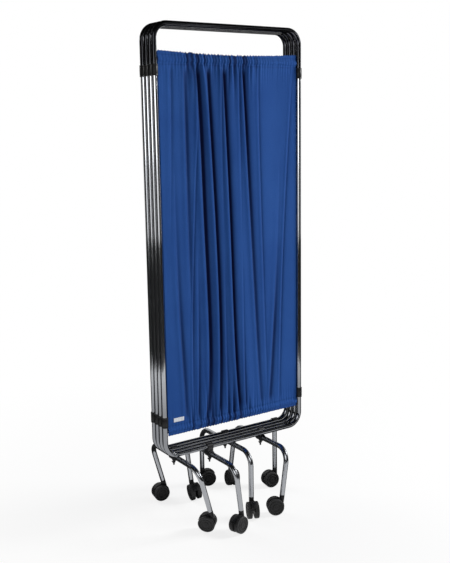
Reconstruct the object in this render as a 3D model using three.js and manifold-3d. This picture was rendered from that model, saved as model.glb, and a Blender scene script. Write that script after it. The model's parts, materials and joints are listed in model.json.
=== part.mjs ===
// Ward privacy screen on wheels: four curtained tube frames, hinged edge to edge and folded flat.
// Millimetres. +X runs along the panels, +Y from the front panel to the rear one, +Z up.
// The origin is on the floor, under the middle of the folded screen.
import * as THREE from "three";
import { mergeVertices } from "three/addons/utils/BufferGeometryUtils.js";
import Module from "manifold-3d";

const wasm = await Module();
wasm.setup();

// Driving dimensions of the frames
const panelCount = 4;
const panelWidth = 600;
const panelHeight = 1460;
const floorGap = 252;
const tubeRadius = 9;
const bendRadius = 48;
const upperCollarDrop = 154;
const lowerCollarRise = 133;
const collarHeight = 36;
const collarWall = 2.5;
const collarSpace = 2;
const hingeNeckWidth = 13;
const tubeWall = 2.2;
const spigotLength = 15;

// Driving dimensions of the curtains and their rods
const rodRadius = 3;
const rodSeatDepth = 5;
const clothThickness = 2;
const clothTopDrop = 90;
const clothBottomRise = 80;
const headingHeight = 30;
const hemHeight = 20;
const sleeveDepth = 13;
const foldDepth = 7.5;
const frillDepth = 3;
const foldCount = 9;
const samplesPerFold = 4;
const foldCrowdingShare = 0.35;
const edgeFoldShare = 0.4;

// Driving dimensions of the foot bows, the free leg and their clamps
const bowSpan = 330;
const bowDrop = 17;
const bowBendRadius = 50;
const clampWall = 3.4;
const railClampWidth = 22;
const bowClampWidth = 30;
const bridgeWidth = 18;
const legSocketLength = 26;
const legHeadDrop = 4;
const screwRadius = 3;
const screwLength = 17;
const screwBossRadius = 6;
const screwBossLength = 5;
const wingWidth = 19;
const wingHeight = 9;
const wingThickness = 3;

// Driving dimensions of a castor
const wheelRadius = 30;
const wheelWidth = 15;
const wheelSpace = 10;
const treadShoulder = 2;
const rimWidth = 5;
const discRecess = 1.6;
const axleRadius = 4;
const castorTrail = 21;
const castorDrop = 43;
const stemRadius = 5;
const stemLength = 26;
const neckLength = 26;
const webThickness = 8.6;
const hoodThickness = 2.2;
const hoodClearance = 1.3;
const axleBossRadius = 9;
const hoodFrontAngle = 28;
const hoodRearAngle = 186;
const bossWrapAngle = 80;

// Fits and facets
const seatGap = 0.3;
const runningGap = 0.25;
const overrun = 4;
const weldDistance = 0.0001;
const roundSides = 12;
const wheelSides = 14;
const smallSides = 8;
const bendSteps = 4;
const hoodSteps = 5;

// Each bow: the panel that carries it, its share of the way along the straight of the rail,
// how far its feet lean towards +X, and the way its castors trail, in degrees from +X towards +Y
const bows = [
  { panel: 3, share: 0, lean: 15.5, frontTrail: 130, rearTrail: 171 },
  { panel: 1, share: 0.254, lean: 7, frontTrail: 196, rearTrail: 259 },
  { panel: 4, share: 0.506, lean: 0, frontTrail: 247, rearTrail: 339 },
  { panel: 2, share: 0.776, lean: -8.5, frontTrail: 153, rearTrail: 262 },
];
const freeLeg = { panel: 4, share: 1, lean: 0, trail: 170 };

// Values worked out from the driving ones
const collarRadius = tubeRadius + collarWall;
const panelPitch = 2 * collarRadius + collarSpace;
const spigotRadius = tubeRadius - tubeWall;
const clampRadius = tubeRadius + clampWall;
const neckRadius = tubeRadius;
const railHeight = floorGap + tubeRadius;
const bowAxisHeight = floorGap - bowDrop;
const legHeadHeight = floorGap - legHeadDrop;
const jointHeight = panelHeight - upperCollarDrop;
const stileSpan = panelWidth - 2 * tubeRadius;
const clothSideGap = collarRadius - tubeRadius + 2 * seatGap;
const clothTop = panelHeight - clothTopDrop;
const topRodHeight = clothTop - headingHeight;
const bottomRodHeight = clothBottomRise + hemHeight;
const boreRadius = (tubeRadius + seatGap) / Math.cos(Math.PI / roundSides);
const stemBoreRadius = (stemRadius + seatGap) / Math.cos(Math.PI / smallSides);
const rodBoreRadius = (rodRadius + seatGap) / Math.cos(Math.PI / smallSides);
const socketRadius = (spigotRadius + seatGap) / Math.cos(Math.PI / roundSides);
const axleBoreRadius = (axleRadius + runningGap) / Math.cos(Math.PI / smallSides);
const treadRadius = wheelRadius / Math.cos(Math.PI / wheelSides);
const castorHalfWidth = wheelSpace / 2 + wheelWidth;
const railStart = tubeRadius + bendRadius + railClampWidth / 2 + seatGap;

const yAxis = new THREE.Vector3(0, 1, 0);
const zAxis = new THREE.Vector3(0, 0, 1);

const materials = {
  brightTube: new THREE.MeshStandardMaterial({ color: 0xc9ccce, roughness: 0.16, metalness: 1 }),
  darkTube: new THREE.MeshStandardMaterial({ color: 0x3c3d40, roughness: 0.22, metalness: 1 }),
  footTube: new THREE.MeshStandardMaterial({ color: 0xb9bcbf, roughness: 0.2, metalness: 1 }),
  rod: new THREE.MeshStandardMaterial({ color: 0xa9acb0, roughness: 0.3, metalness: 1 }),
  curtain: new THREE.MeshStandardMaterial({ color: 0x24477f, roughness: 0.9, metalness: 0 }),
  collar: new THREE.MeshStandardMaterial({ color: 0x17181a, roughness: 0.5, metalness: 0 }),
  clamp: new THREE.MeshStandardMaterial({ color: 0x151517, roughness: 0.45, metalness: 0 }),
  hood: new THREE.MeshStandardMaterial({ color: 0x1b1b1d, roughness: 0.5, metalness: 0 }),
  wheel: new THREE.MeshStandardMaterial({ color: 0x222224, roughness: 0.65, metalness: 0 }),
};

// Turn a closed geometry into a solid that can be joined and cut
function toSolid(geometry) {
  const bare = geometry.clone();
  bare.deleteAttribute("normal");
  bare.deleteAttribute("uv");
  const welded = mergeVertices(bare, weldDistance);
  return new wasm.Manifold(new wasm.Mesh({
    numProp: 3,
    vertProperties: new Float32Array(welded.attributes.position.array),
    triVerts: new Uint32Array(welded.index.array),
  }));
}

function toGeometry(solid) {
  const mesh = solid.getMesh();
  const geometry = new THREE.BufferGeometry();
  geometry.setAttribute("position", new THREE.BufferAttribute(new Float32Array(mesh.vertProperties), 3));
  geometry.setIndex(new THREE.BufferAttribute(new Uint32Array(mesh.triVerts), 1));
  geometry.computeVertexNormals();
  return geometry;
}

// A bar of round section from one point to another
function bar(radius, start, end, sides) {
  const way = end.clone().sub(start);
  const geometry = new THREE.CylinderGeometry(radius, radius, way.length(), sides);
  geometry.rotateY(Math.PI / sides);
  const turn = new THREE.Quaternion().setFromUnitVectors(yAxis, way.clone().normalize());
  geometry.applyQuaternion(turn);
  const middle = start.clone().add(end).multiplyScalar(1 / 2);
  return geometry.translate(middle.x, middle.y, middle.z);
}

function barSolid(radius, start, end, sides) {
  return toSolid(bar(radius, start, end, sides));
}

function point(x, y, z) {
  return new THREE.Vector3(x, y, z);
}

// A regular outline with a flat at its foot
function roundPoints(radius, sides) {
  const points = [];
  for (let side = 0; side < sides; side += 1) {
    const angle = (2 * Math.PI * (side + 1 / 2)) / sides - Math.PI / 2;
    points.push(new THREE.Vector2(radius * Math.cos(angle), radius * Math.sin(angle)));
  }
  return points;
}

// The stations of a bent tube: a ring at each end and at each step round its bends
function bentStations(corners, radius) {
  const last = corners.length - 1;
  const firstWay = corners[1].clone().sub(corners[0]).normalize();
  const stations = [{ place: corners[0], way: firstWay }];
  for (let corner = 1; corner < last; corner += 1) {
    const into = corners[corner].clone().sub(corners[corner - 1]).normalize();
    const out = corners[corner + 1].clone().sub(corners[corner]).normalize();
    const turn = into.angleTo(out);
    const axis = into.clone().cross(out).normalize();
    const outward = into.clone().cross(axis);
    const start = corners[corner].clone().addScaledVector(into, -radius * Math.tan(turn / 2));
    const centre = start.clone().addScaledVector(outward, -radius);
    for (let step = 0; step <= bendSteps; step += 1) {
      const angle = (turn * step) / bendSteps;
      const arm = outward.clone().multiplyScalar(radius).applyAxisAngle(axis, angle);
      stations.push({ place: centre.clone().add(arm), way: into.clone().applyAxisAngle(axis, angle) });
    }
  }
  const lastWay = corners[last].clone().sub(corners[last - 1]).normalize();
  stations.push({ place: corners[last], way: lastWay });
  return stations;
}

// A path that an extrusion follows from station to station
class StationPath extends THREE.Curve {
  constructor(stations) {
    super();
    this.stations = stations;
  }

  stationAt(share) {
    return this.stations[Math.round(share * (this.stations.length - 1))];
  }

  getPointAt(share) {
    return this.stationAt(share).place.clone();
  }

  getTangentAt(share) {
    return this.stationAt(share).way.clone();
  }
}

function bentTube(corners, radius) {
  const stations = bentStations(corners, radius);
  const outline = new THREE.Shape(roundPoints(tubeRadius, roundSides));
  return new THREE.ExtrudeGeometry(outline, {
    steps: stations.length - 1,
    extrudePath: new StationPath(stations),
  });
}

// The two blind holes in a frame's stiles that hold one curtain rod
function rodSeats(height) {
  const inset = 2 * tubeRadius - rodSeatDepth - seatGap;
  const left = point(inset, 0, height);
  const right = point(panelWidth - inset, 0, height);
  return barSolid(rodBoreRadius, left, right, smallSides);
}

// The upper half of a frame: an arch with a spigot at the foot of each leg
function upperTube() {
  const foot = jointHeight + seatGap;
  const top = panelHeight - tubeRadius;
  const left = tubeRadius;
  const right = tubeRadius + stileSpan;
  let arch = toSolid(bentTube(
    [point(left, 0, foot), point(left, 0, top), point(right, 0, top), point(right, 0, foot)],
    bendRadius,
  ));
  for (const x of [left, right]) {
    const spigotFoot = point(x, 0, jointHeight - spigotLength);
    arch = arch.add(barSolid(spigotRadius, spigotFoot, point(x, 0, foot + overrun), roundSides));
  }
  return toGeometry(arch.subtract(rodSeats(topRodHeight)));
}

// The lower half of a frame: both stiles and the bottom rail, with a socket in the head of each stile
function lowerTube() {
  const left = tubeRadius;
  const right = tubeRadius + stileSpan;
  let frame = toSolid(bentTube(
    [
      point(left, 0, jointHeight),
      point(left, 0, tubeRadius),
      point(right, 0, tubeRadius),
      point(right, 0, jointHeight),
    ],
    bendRadius,
  ));
  for (const x of [left, right]) {
    const socketFoot = point(x, 0, jointHeight - spigotLength - seatGap);
    const socketMouth = point(x, 0, jointHeight + overrun);
    frame = frame.subtract(barSolid(socketRadius, socketFoot, socketMouth, roundSides));
  }
  return toGeometry(frame.subtract(rodSeats(bottomRodHeight)));
}

function curtainRod(height) {
  const inset = 2 * tubeRadius - rodSeatDepth;
  return bar(rodRadius, point(inset, 0, height), point(panelWidth - inset, 0, height), smallSides);
}

// How far the cloth swings at a share of its width: folds crowd in the middle and flatten at the edges
function foldAt(share) {
  const crowded = share - (foldCrowdingShare * Math.sin(4 * Math.PI * share)) / (4 * Math.PI);
  const body = edgeFoldShare + (1 - edgeFoldShare) * Math.sin(Math.PI * share);
  return body * Math.sin(2 * Math.PI * foldCount * crowded);
}

// The rows of the curtain from hem to heading: height, swing of the folds and thickness of the cloth
function clothRows() {
  const rows = [{ height: clothBottomRise, swing: frillDepth, depth: clothThickness }];
  for (const rodHeight of [bottomRodHeight, topRodHeight]) {
    if (rodHeight === topRodHeight) {
      const middle = (bottomRodHeight + topRodHeight) / 2;
      rows.push({ height: middle, swing: foldDepth, depth: clothThickness });
    }
    rows.push({ height: rodHeight - sleeveDepth / 2, swing: 0, depth: clothThickness });
    rows.push({ height: rodHeight, swing: 0, depth: sleeveDepth });
    rows.push({ height: rodHeight + sleeveDepth / 2, swing: 0, depth: clothThickness });
  }
  rows.push({ height: clothTop, swing: frillDepth, depth: clothThickness });
  return rows;
}

// One gathered curtain: a folded sheet with a sleeve round each rod
function curtain() {
  const rows = clothRows();
  const columns = foldCount * samplesPerFold;
  const start = 2 * tubeRadius + clothSideGap;
  const width = panelWidth - 2 * start;
  const positions = [];
  const sides = [-1, 1];
  for (const row of rows) {
    for (const side of sides) {
      for (let column = 0; column <= columns; column += 1) {
        const share = column / columns;
        const swing = row.swing * foldAt(share);
        positions.push(start + width * share, swing + (side * row.depth) / 2, row.height);
      }
    }
  }
  const at = (row, back, column) => (row * sides.length + back) * (columns + 1) + column;
  const faces = [];
  const quad = (a, b, c, d) => faces.push(a, b, c, a, c, d);
  for (let row = 0; row < rows.length - 1; row += 1) {
    for (let column = 0; column < columns; column += 1) {
      quad(at(row, 0, column), at(row, 0, column + 1), at(row + 1, 0, column + 1), at(row + 1, 0, column));
      quad(at(row, 1, column), at(row + 1, 1, column), at(row + 1, 1, column + 1), at(row, 1, column + 1));
    }
    quad(at(row, 1, 0), at(row, 0, 0), at(row + 1, 0, 0), at(row + 1, 1, 0));
    quad(at(row, 0, columns), at(row, 1, columns), at(row + 1, 1, columns), at(row + 1, 0, columns));
  }
  const top = rows.length - 1;
  for (let column = 0; column < columns; column += 1) {
    quad(at(0, 1, column), at(0, 1, column + 1), at(0, 0, column + 1), at(0, 0, column));
    quad(at(top, 0, column), at(top, 0, column + 1), at(top, 1, column + 1), at(top, 1, column));
  }
  const sheet = new THREE.BufferGeometry();
  sheet.setAttribute("position", new THREE.Float32BufferAttribute(positions, 3));
  sheet.setIndex(faces);
  let cloth = toSolid(sheet);
  for (const height of [bottomRodHeight, topRodHeight]) {
    const sleeveStart = point(start - overrun, 0, height);
    const sleeveEnd = point(start + width + overrun, 0, height);
    cloth = cloth.subtract(barSolid(rodBoreRadius, sleeveStart, sleeveEnd, smallSides));
  }
  return toGeometry(cloth);
}

// A plain collar round one stile
function endCollar() {
  const outline = new THREE.Shape(roundPoints(collarRadius, roundSides));
  outline.holes.push(new THREE.Path(roundPoints(boreRadius, roundSides)));
  return new THREE.ExtrudeGeometry(outline, { depth: collarHeight, bevelEnabled: false });
}

// A hinge block: two collars in one, a panel pitch apart, joined by a narrower neck
function hingeBlock() {
  const neckAngle = Math.asin(hingeNeckWidth / 2 / collarRadius);
  const quarter = Math.PI / 2;
  const outline = new THREE.Shape();
  outline.absarc(0, 0, collarRadius, quarter + neckAngle, quarter - neckAngle + 2 * Math.PI, false);
  outline.absarc(0, panelPitch, collarRadius, neckAngle - quarter, 3 * quarter - neckAngle, false);
  for (const y of [0, panelPitch]) {
    const hole = roundPoints(boreRadius, roundSides).map((spot) => spot.add(new THREE.Vector2(0, y)));
    outline.holes.push(new THREE.Path(hole));
  }
  return new THREE.ExtrudeGeometry(outline, {
    depth: collarHeight,
    bevelEnabled: false,
    curveSegments: roundSides / 2,
  });
}

// The wheels of one castor: two tyred discs on a common axle, turned as one piece about +Y
function castorWheels() {
  const inner = wheelSpace / 2;
  const outer = castorHalfWidth;
  const half = [
    [axleRadius, inner],
    [treadRadius, inner],
    [treadRadius, outer - treadShoulder],
    [treadRadius - treadShoulder, outer],
    [treadRadius - treadShoulder - rimWidth, outer],
    [treadRadius - treadShoulder - rimWidth - discRecess, outer - discRecess],
    [0, outer - discRecess],
  ];
  const profile = [
    ...half.map(([radius, y]) => new THREE.Vector2(radius, -y)).reverse(),
    ...half.map(([radius, y]) => new THREE.Vector2(radius, y)),
  ];
  const wheels = new THREE.LatheGeometry(profile, wheelSides);
  wheels.rotateY(Math.PI / wheelSides);
  return wheels.translate(castorTrail, 0, -castorDrop);
}

// The hood seen from the side: an arched band about the axle
function hoodShape(innerRadius, outerRadius) {
  const front = THREE.MathUtils.degToRad(hoodFrontAngle);
  const rear = THREE.MathUtils.degToRad(hoodRearAngle);
  const outline = new THREE.Shape();
  outline.absarc(0, 0, outerRadius, front, rear, false);
  outline.absarc(0, 0, innerRadius, rear, front, true);
  return outline;
}

// The web seen from the side: from the hood down round the axle boss
function webShape(outerRadius) {
  const front = THREE.MathUtils.degToRad(hoodFrontAngle);
  const rear = THREE.MathUtils.degToRad(hoodRearAngle);
  const wrap = THREE.MathUtils.degToRad(bossWrapAngle);
  const outline = new THREE.Shape();
  outline.absarc(0, 0, outerRadius, front, rear, false);
  outline.absarc(0, 0, axleBossRadius, rear + wrap, front - wrap + 2 * Math.PI, false);
  return outline;
}

function plate(outline, thickness) {
  const geometry = new THREE.ExtrudeGeometry(outline, {
    depth: thickness,
    bevelEnabled: false,
    curveSegments: hoodSteps,
  });
  geometry.translate(0, 0, -thickness / 2);
  geometry.rotateX(Math.PI / 2);
  return toSolid(geometry.translate(castorTrail, 0, -castorDrop));
}

// The castor's body: hood over both wheels, web between them, neck and stem
function castorHood() {
  const hoodInner = treadRadius + hoodClearance;
  const hoodOuter = hoodInner + hoodThickness;
  const hood = plate(hoodShape(hoodInner, hoodOuter), 2 * castorHalfWidth);
  const web = plate(webShape(hoodInner + hoodThickness / 2), webThickness);
  const wheelRoom = barSolid(
    hoodInner,
    point(castorTrail, -castorHalfWidth, -castorDrop),
    point(castorTrail, castorHalfWidth, -castorDrop),
    2 * roundSides,
  );
  const neck = barSolid(neckRadius, point(0, 0, -neckLength), point(0, 0, -seatGap), roundSides);
  const stem = barSolid(stemRadius, point(0, 0, -2 * seatGap), point(0, 0, stemLength), smallSides);
  const axleBore = barSolid(
    axleBoreRadius,
    point(castorTrail, -castorHalfWidth, -castorDrop),
    point(castorTrail, castorHalfWidth, -castorDrop),
    smallSides,
  );
  return toGeometry(neck.subtract(wheelRoom).add(hood).add(web).add(stem).subtract(axleBore));
}

function leanTurn(lean) {
  return new THREE.Matrix4().makeRotationY(-THREE.MathUtils.degToRad(lean));
}

// A castor turned to its trail and leant with its leg, with its seat at the origin
function castorTurn(lean, trail) {
  const swivel = new THREE.Matrix4().makeRotationZ(THREE.MathUtils.degToRad(trail));
  return leanTurn(lean).multiply(swivel);
}

// How high a castor holds its leg's foot above the floor
function standHeight(lean, trail) {
  const wheels = castorWheels().applyMatrix4(castorTurn(lean, trail));
  wheels.computeBoundingBox();
  return -wheels.boundingBox.min.z;
}

// The foot of a leg that leaves the given height and leans
function legFoot(along, across, head, lean, trail) {
  const foot = standHeight(lean, trail);
  const shift = (head - foot) * Math.tan(THREE.MathUtils.degToRad(lean));
  return point(along + shift, across, foot);
}

// The blind bore in a leg's foot for the castor's stem
function stemBore(foot, lean) {
  const up = zAxis.clone().transformDirection(leanTurn(lean));
  const mouth = foot.clone().addScaledVector(up, -overrun);
  const end = foot.clone().addScaledVector(up, stemLength + seatGap);
  return barSolid(stemBoreRadius, mouth, end, smallSides);
}

// The place along the rail of a bow or the free leg
function alongRail(support) {
  return railStart + (panelWidth - 2 * railStart) * support.share;
}

function panelDepth(panel) {
  return (panel - 1) * panelPitch;
}

function bowFeet(bow) {
  const along = alongRail(bow);
  const middle = panelDepth(bow.panel);
  return {
    front: legFoot(along, middle - bowSpan / 2, bowAxisHeight, bow.lean, bow.frontTrail),
    rear: legFoot(along, middle + bowSpan / 2, bowAxisHeight, bow.lean, bow.rearTrail),
  };
}

// A foot bow: an upturned U whose two legs carry castors
function footBow(bow) {
  const along = alongRail(bow);
  const feet = bowFeet(bow);
  const frontHead = point(along, feet.front.y, bowAxisHeight);
  const rearHead = point(along, feet.rear.y, bowAxisHeight);
  const tube = toSolid(bentTube([feet.front, frontHead, rearHead, feet.rear], bowBendRadius));
  return toGeometry(tube.subtract(stemBore(feet.front, bow.lean)).subtract(stemBore(feet.rear, bow.lean)));
}

function freeLegFoot() {
  return legFoot(alongRail(freeLeg), panelDepth(freeLeg.panel), legHeadHeight, freeLeg.lean, freeLeg.trail);
}

function freeLegTube() {
  const foot = freeLegFoot();
  const head = point(alongRail(freeLeg), foot.y, legHeadHeight);
  return toGeometry(barSolid(tubeRadius, foot, head, roundSides).subtract(stemBore(foot, freeLeg.lean)));
}

// The saddle that every clamp has round its rail, with the rail's bore still to be cut
function railSaddle(along, depth) {
  const start = point(along - railClampWidth / 2, depth, railHeight);
  const end = point(along + railClampWidth / 2, depth, railHeight);
  return barSolid(clampRadius, start, end, roundSides);
}

function railBore(along, depth) {
  const start = point(along - railClampWidth / 2 - overrun, depth, railHeight);
  const end = point(along + railClampWidth / 2 + overrun, depth, railHeight);
  return barSolid(boreRadius, start, end, roundSides);
}

// The wing screw under a clamp: boss, shank and two wings that taper to the tip
function wingScrew(along, depth) {
  const bossTop = bowAxisHeight - clampRadius + screwBossLength / 2;
  const bossFoot = bossTop - screwBossLength;
  const tip = bossFoot - screwLength;
  const boss = barSolid(
    screwBossRadius,
    point(along, depth, bossFoot),
    point(along, depth, bossTop),
    smallSides,
  );
  const shank = barSolid(screwRadius, point(along, depth, tip), point(along, depth, bossTop), smallSides);
  const wings = new THREE.Shape();
  wings.moveTo(-wingWidth / 2, 0);
  wings.lineTo(wingWidth / 2, 0);
  wings.lineTo(screwRadius, -wingHeight);
  wings.lineTo(-screwRadius, -wingHeight);
  const wingPlate = new THREE.ExtrudeGeometry(wings, { depth: wingThickness, bevelEnabled: false });
  wingPlate.translate(0, 0, -wingThickness / 2);
  wingPlate.rotateX(Math.PI / 2);
  wingPlate.translate(along, depth, bossFoot - wingHeight / 4);
  return boss.add(shank).add(toSolid(wingPlate));
}

// A crossed clamp: one saddle on the rail, one on the bow at right angles below it
function bowClamp(bow) {
  const along = alongRail(bow);
  const depth = panelDepth(bow.panel);
  const halfDepth = bowClampWidth / 2;
  const bowSaddle = barSolid(
    clampRadius,
    point(along, depth - halfDepth, bowAxisHeight),
    point(along, depth + halfDepth, bowAxisHeight),
    roundSides,
  );
  const bridge = new THREE.BoxGeometry(railClampWidth, bridgeWidth, railHeight - bowAxisHeight);
  bridge.translate(along, depth, (railHeight + bowAxisHeight) / 2);
  const bowBore = barSolid(
    boreRadius,
    point(along, depth - halfDepth - overrun, bowAxisHeight),
    point(along, depth + halfDepth + overrun, bowAxisHeight),
    roundSides,
  );
  const body = railSaddle(along, depth).add(bowSaddle).add(toSolid(bridge));
  const bored = body.subtract(railBore(along, depth)).subtract(bowBore);
  return toGeometry(bored.add(wingScrew(along, depth).subtract(bowBore)));
}

// The free leg's clamp: a saddle on the rail over an upright socket
function legClamp() {
  const along = alongRail(freeLeg);
  const depth = panelDepth(freeLeg.panel);
  const socketFoot = legHeadHeight - legSocketLength;
  const socket = barSolid(
    clampRadius,
    point(along, depth, socketFoot),
    point(along, depth, railHeight),
    roundSides,
  );
  const socketBore = barSolid(
    boreRadius,
    point(along, depth, socketFoot - overrun),
    point(along, depth, legHeadHeight + seatGap),
    roundSides,
  );
  const body = railSaddle(along, depth).add(socket);
  return toGeometry(body.subtract(railBore(along, depth)).subtract(socketBore));
}

const screen = new THREE.Group();
screen.name = "ward_screen";

function addPiece(name, geometry, material) {
  const mesh = new THREE.Mesh(geometry, material);
  mesh.name = name;
  screen.add(mesh);
}

// Everything of one panel that stands between its collars
function addPanel(panel) {
  const depth = panelDepth(panel);
  const pieces = [
    [`upper_tube_${panel}`, upperTube(), materials.darkTube],
    [`lower_tube_${panel}`, lowerTube(), materials.brightTube],
    [`curtain_${panel}`, curtain(), materials.curtain],
    [`top_rod_${panel}`, curtainRod(topRodHeight), materials.rod],
    [`bottom_rod_${panel}`, curtainRod(bottomRodHeight), materials.rod],
  ];
  for (const [name, geometry, material] of pieces) {
    addPiece(name, geometry.translate(0, depth, floorGap), material);
  }
}

// The collars at both heights: hinge blocks between panels, plain collars on the free stiles
function addCollars() {
  const levels = { lower: lowerCollarRise, upper: jointHeight };
  for (const [level, rise] of Object.entries(levels)) {
    const foot = floorGap + rise - collarHeight / 2;
    for (let panel = 1; panel < panelCount; panel += 1) {
      const x = panel % 2 === 1 ? tubeRadius : tubeRadius + stileSpan;
      const block = hingeBlock().translate(x, panelDepth(panel), foot);
      addPiece(`hinge_block_${panel}_${panel + 1}_${level}`, block, materials.collar);
    }
    for (const panel of [1, panelCount]) {
      const collar = endCollar().translate(tubeRadius + stileSpan, panelDepth(panel), foot);
      addPiece(`end_collar_${panel}_${level}`, collar, materials.collar);
    }
  }
}

function addCastor(number, foot, lean, trail) {
  const place = new THREE.Matrix4().makeTranslation(foot.x, foot.y, foot.z);
  const turn = place.multiply(castorTurn(lean, trail));
  addPiece(`castor_hood_${number}`, castorHood().applyMatrix4(turn), materials.hood);
  addPiece(`castor_wheels_${number}`, castorWheels().applyMatrix4(turn), materials.wheel);
}

function addFeet() {
  bows.forEach((bow, index) => {
    const feet = bowFeet(bow);
    addPiece(`foot_bow_${bow.panel}`, footBow(bow), materials.footTube);
    addPiece(`bow_clamp_${bow.panel}`, bowClamp(bow), materials.clamp);
    addCastor(2 * index + 1, feet.front, bow.lean, bow.frontTrail);
    addCastor(2 * index + 2, feet.rear, bow.lean, bow.rearTrail);
  });
  addPiece("free_leg", freeLegTube(), materials.footTube);
  addPiece("leg_clamp", legClamp(), materials.clamp);
  addCastor(2 * bows.length + 1, freeLegFoot(), freeLeg.lean, freeLeg.trail);
}

// Move every piece so that the origin is under the middle of the folded screen
function centreScreen() {
  const bounds = new THREE.Box3().setFromObject(screen);
  const middle = bounds.getCenter(new THREE.Vector3());
  for (const mesh of screen.children) {
    mesh.geometry.translate(-middle.x, -middle.y, -bounds.min.z);
  }
}

for (let panel = 1; panel <= panelCount; panel += 1) {
  addPanel(panel);
}
addCollars();
addFeet();
centreScreen();

export default screen;
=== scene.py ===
import json
import math

import bpy
import numpy as np
from mathutils import Matrix, Vector


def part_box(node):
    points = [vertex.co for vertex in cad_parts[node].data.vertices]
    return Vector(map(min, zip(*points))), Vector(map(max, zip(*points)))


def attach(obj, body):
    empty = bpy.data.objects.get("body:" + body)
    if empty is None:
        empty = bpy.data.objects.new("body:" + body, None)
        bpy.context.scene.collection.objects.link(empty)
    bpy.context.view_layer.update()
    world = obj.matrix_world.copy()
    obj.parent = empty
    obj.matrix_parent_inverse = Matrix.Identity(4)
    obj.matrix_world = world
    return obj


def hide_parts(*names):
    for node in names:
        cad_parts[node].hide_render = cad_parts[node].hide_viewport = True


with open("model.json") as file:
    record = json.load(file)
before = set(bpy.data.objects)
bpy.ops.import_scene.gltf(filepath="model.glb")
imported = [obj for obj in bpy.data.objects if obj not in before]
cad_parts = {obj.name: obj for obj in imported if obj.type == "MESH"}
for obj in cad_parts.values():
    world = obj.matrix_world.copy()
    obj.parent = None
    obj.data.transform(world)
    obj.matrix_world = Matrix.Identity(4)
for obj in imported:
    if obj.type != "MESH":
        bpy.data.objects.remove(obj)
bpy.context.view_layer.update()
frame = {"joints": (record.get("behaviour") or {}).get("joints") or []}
joints = {joint["name"]: joint for joint in frame["joints"]}
xWay = Vector((1, 0, 0))
yWay = Vector((0, 1, 0))
zWay = Vector((0, 0, 1))


def jointPlace(name):
    return Vector(joints[name]["pos_m"])


def jointWay(name):
    return Vector(joints[name]["axis"]).normalized()


# camera, fitted to the photograph
camera = {
    "place": (-1.6545, -2.4768, 1.3769),
    "right": (0.8320, -0.5546, -0.0162),
    "up": (0.1121, 0.1394, 0.9839),
    "forward": (0.5434, 0.8204, -0.1781),
    "lens": 54.71,
    "sensor": 36,
}


def addCamera():
    bpy.ops.object.camera_add()
    lens = bpy.context.object
    lens.name = "photo_camera"
    turn = Matrix((camera["right"], camera["up"], -Vector(camera["forward"]))).transposed()
    lens.matrix_world = Matrix.Translation(camera["place"]) @ turn.to_4x4()
    lens.data.lens = camera["lens"]
    lens.data.sensor_width = camera["sensor"]
    bpy.context.scene.camera = lens


addCamera()
print("camera placed")


# materials
def linear(code):
    shares = [int(code[at : at + 2], 16) / 255 for at in (1, 3, 5)]
    return [s / 12.92 if s <= 0.04045 else ((s + 0.055) / 1.055) ** 2.4 for s in shares] + [1]


# each input is a value or another node's socket
def setInputs(tree, node, inputs):
    for name, value in inputs.items():
        if isinstance(value, bpy.types.NodeSocket):
            tree.links.new(value, node.inputs[name])
        else:
            node.inputs[name].default_value = value


# adds a node and gives back the socket that is used of it
def addNode(tree, kind, out, inputs=None, **settings):
    node = tree.nodes.new("ShaderNode" + kind)
    for name, value in settings.items():
        setattr(node, name, value)
    setInputs(tree, node, inputs or {})
    return node.outputs[out]


def startMaterial(name):
    material = bpy.data.materials.new(name)
    material.use_nodes = True
    tree = material.node_tree
    return material, tree, tree.nodes["Principled BSDF"], addNode(tree, "TexCoord", "Object")


# a noise node's values lie mostly in this span
noiseSpan = {"From Min": 0.3, "From Max": 0.7}
# in a Mix node of colours, 0 is the share, 6 and 7 are the colours and 2 is what comes out
colourMix = {"data_type": "RGBA"}


def metal(name, look):
    material, tree, shader, place = startMaterial(name)
    # hand marks: slow patches that are a little duller
    smudge = addNode(
        tree, "TexNoise", "Fac", {"Vector": place, "Scale": 1000 / look["smudge"], "Detail": 5}
    )
    duller = {"Value": smudge, **noiseSpan, "To Min": look["bright"], "To Max": look["dull"]}
    # hairline rubbing that breaks up the highlights, coarser than the real one so that it shows
    hair = addNode(
        tree, "TexNoise", "Fac", {"Vector": place, "Scale": 1000 / look["hair"], "Detail": 3}
    )
    stained = addNode(tree, "MapRange", "Result", {"Value": hair, **noiseSpan})
    plate = {0: stained, 6: linear(look["colour"]), 7: linear(look["stain"])}
    # painted shade: the plate's colour darkens towards the floor, standing in for the darker
    # reflections low down
    foot, head = look["lowShadeHeights"]
    height = addNode(tree, "SeparateXYZ", "Z", {"Vector": place})
    lower = {"Value": height, "From Min": foot, "From Max": head, "To Min": 1, "To Max": 0}
    lowShade = {
        0: addNode(tree, "MapRange", "Result", lower),
        6: addNode(tree, "Mix", 2, plate, **colourMix),
        7: linear(look["lowShade"]),
    }
    scratch = {"Strength": look["bump"], "Distance": 0.0002, "Height": hair}
    setInputs(tree, shader, {
        "Base Color": addNode(tree, "Mix", 2, lowShade, **colourMix),
        "Metallic": 1,
        "Roughness": addNode(tree, "MapRange", "Result", duller),
        "Normal": addNode(tree, "Bump", "Normal", scratch),
    })
    return material


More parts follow.
